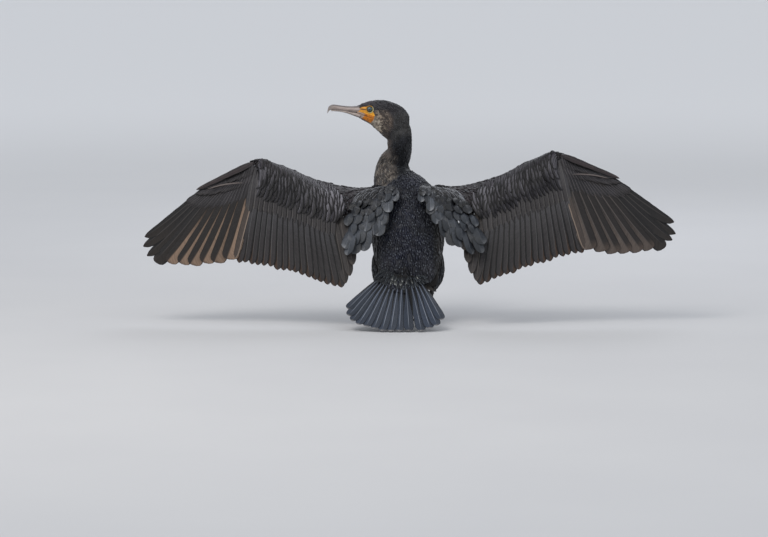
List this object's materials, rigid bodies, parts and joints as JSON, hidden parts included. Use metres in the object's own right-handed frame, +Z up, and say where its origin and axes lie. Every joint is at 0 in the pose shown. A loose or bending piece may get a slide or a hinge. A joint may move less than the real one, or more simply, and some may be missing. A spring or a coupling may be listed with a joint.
{
  "type": "cormorant",
  "caption": "Life-size standing cormorant with both wings held open to dry, head turned to its left and the tail resting on the floor.",
  "frame": {"origin": "middle of the overall box, on the floor the feet and tail rest on", "axes": "+X towards the tip of the bird's right wing, +Y the way its breast faces, +Z up"},
  "size_m": [1.1428, 0.3713, 0.4696],
  "materials": {
    "plumage": "satin, close-lying small feathers",
    "flight": "satin, overlapping vanes",
    "tail": "satin, overlapping vanes",
    "bill": "satin horn",
    "eye": "wet gloss",
    "leg_skin": "satin scaled skin"
  },
  "bodies": {
    "root": {"torso": "plumage", "neck": "plumage", "head": "plumage", "eye_left": "eye", "eye_right": "eye", "bill_upper": "bill", "bill_lower": "bill", "wing_left": "flight", "wing_right": "flight", "thigh_left": "plumage", "thigh_right": "plumage", "shank_left": "leg_skin", "shank_right": "leg_skin", "foot_left": "leg_skin", "foot_right": "leg_skin", "tail": "tail"}
  },
  "joints": []
}
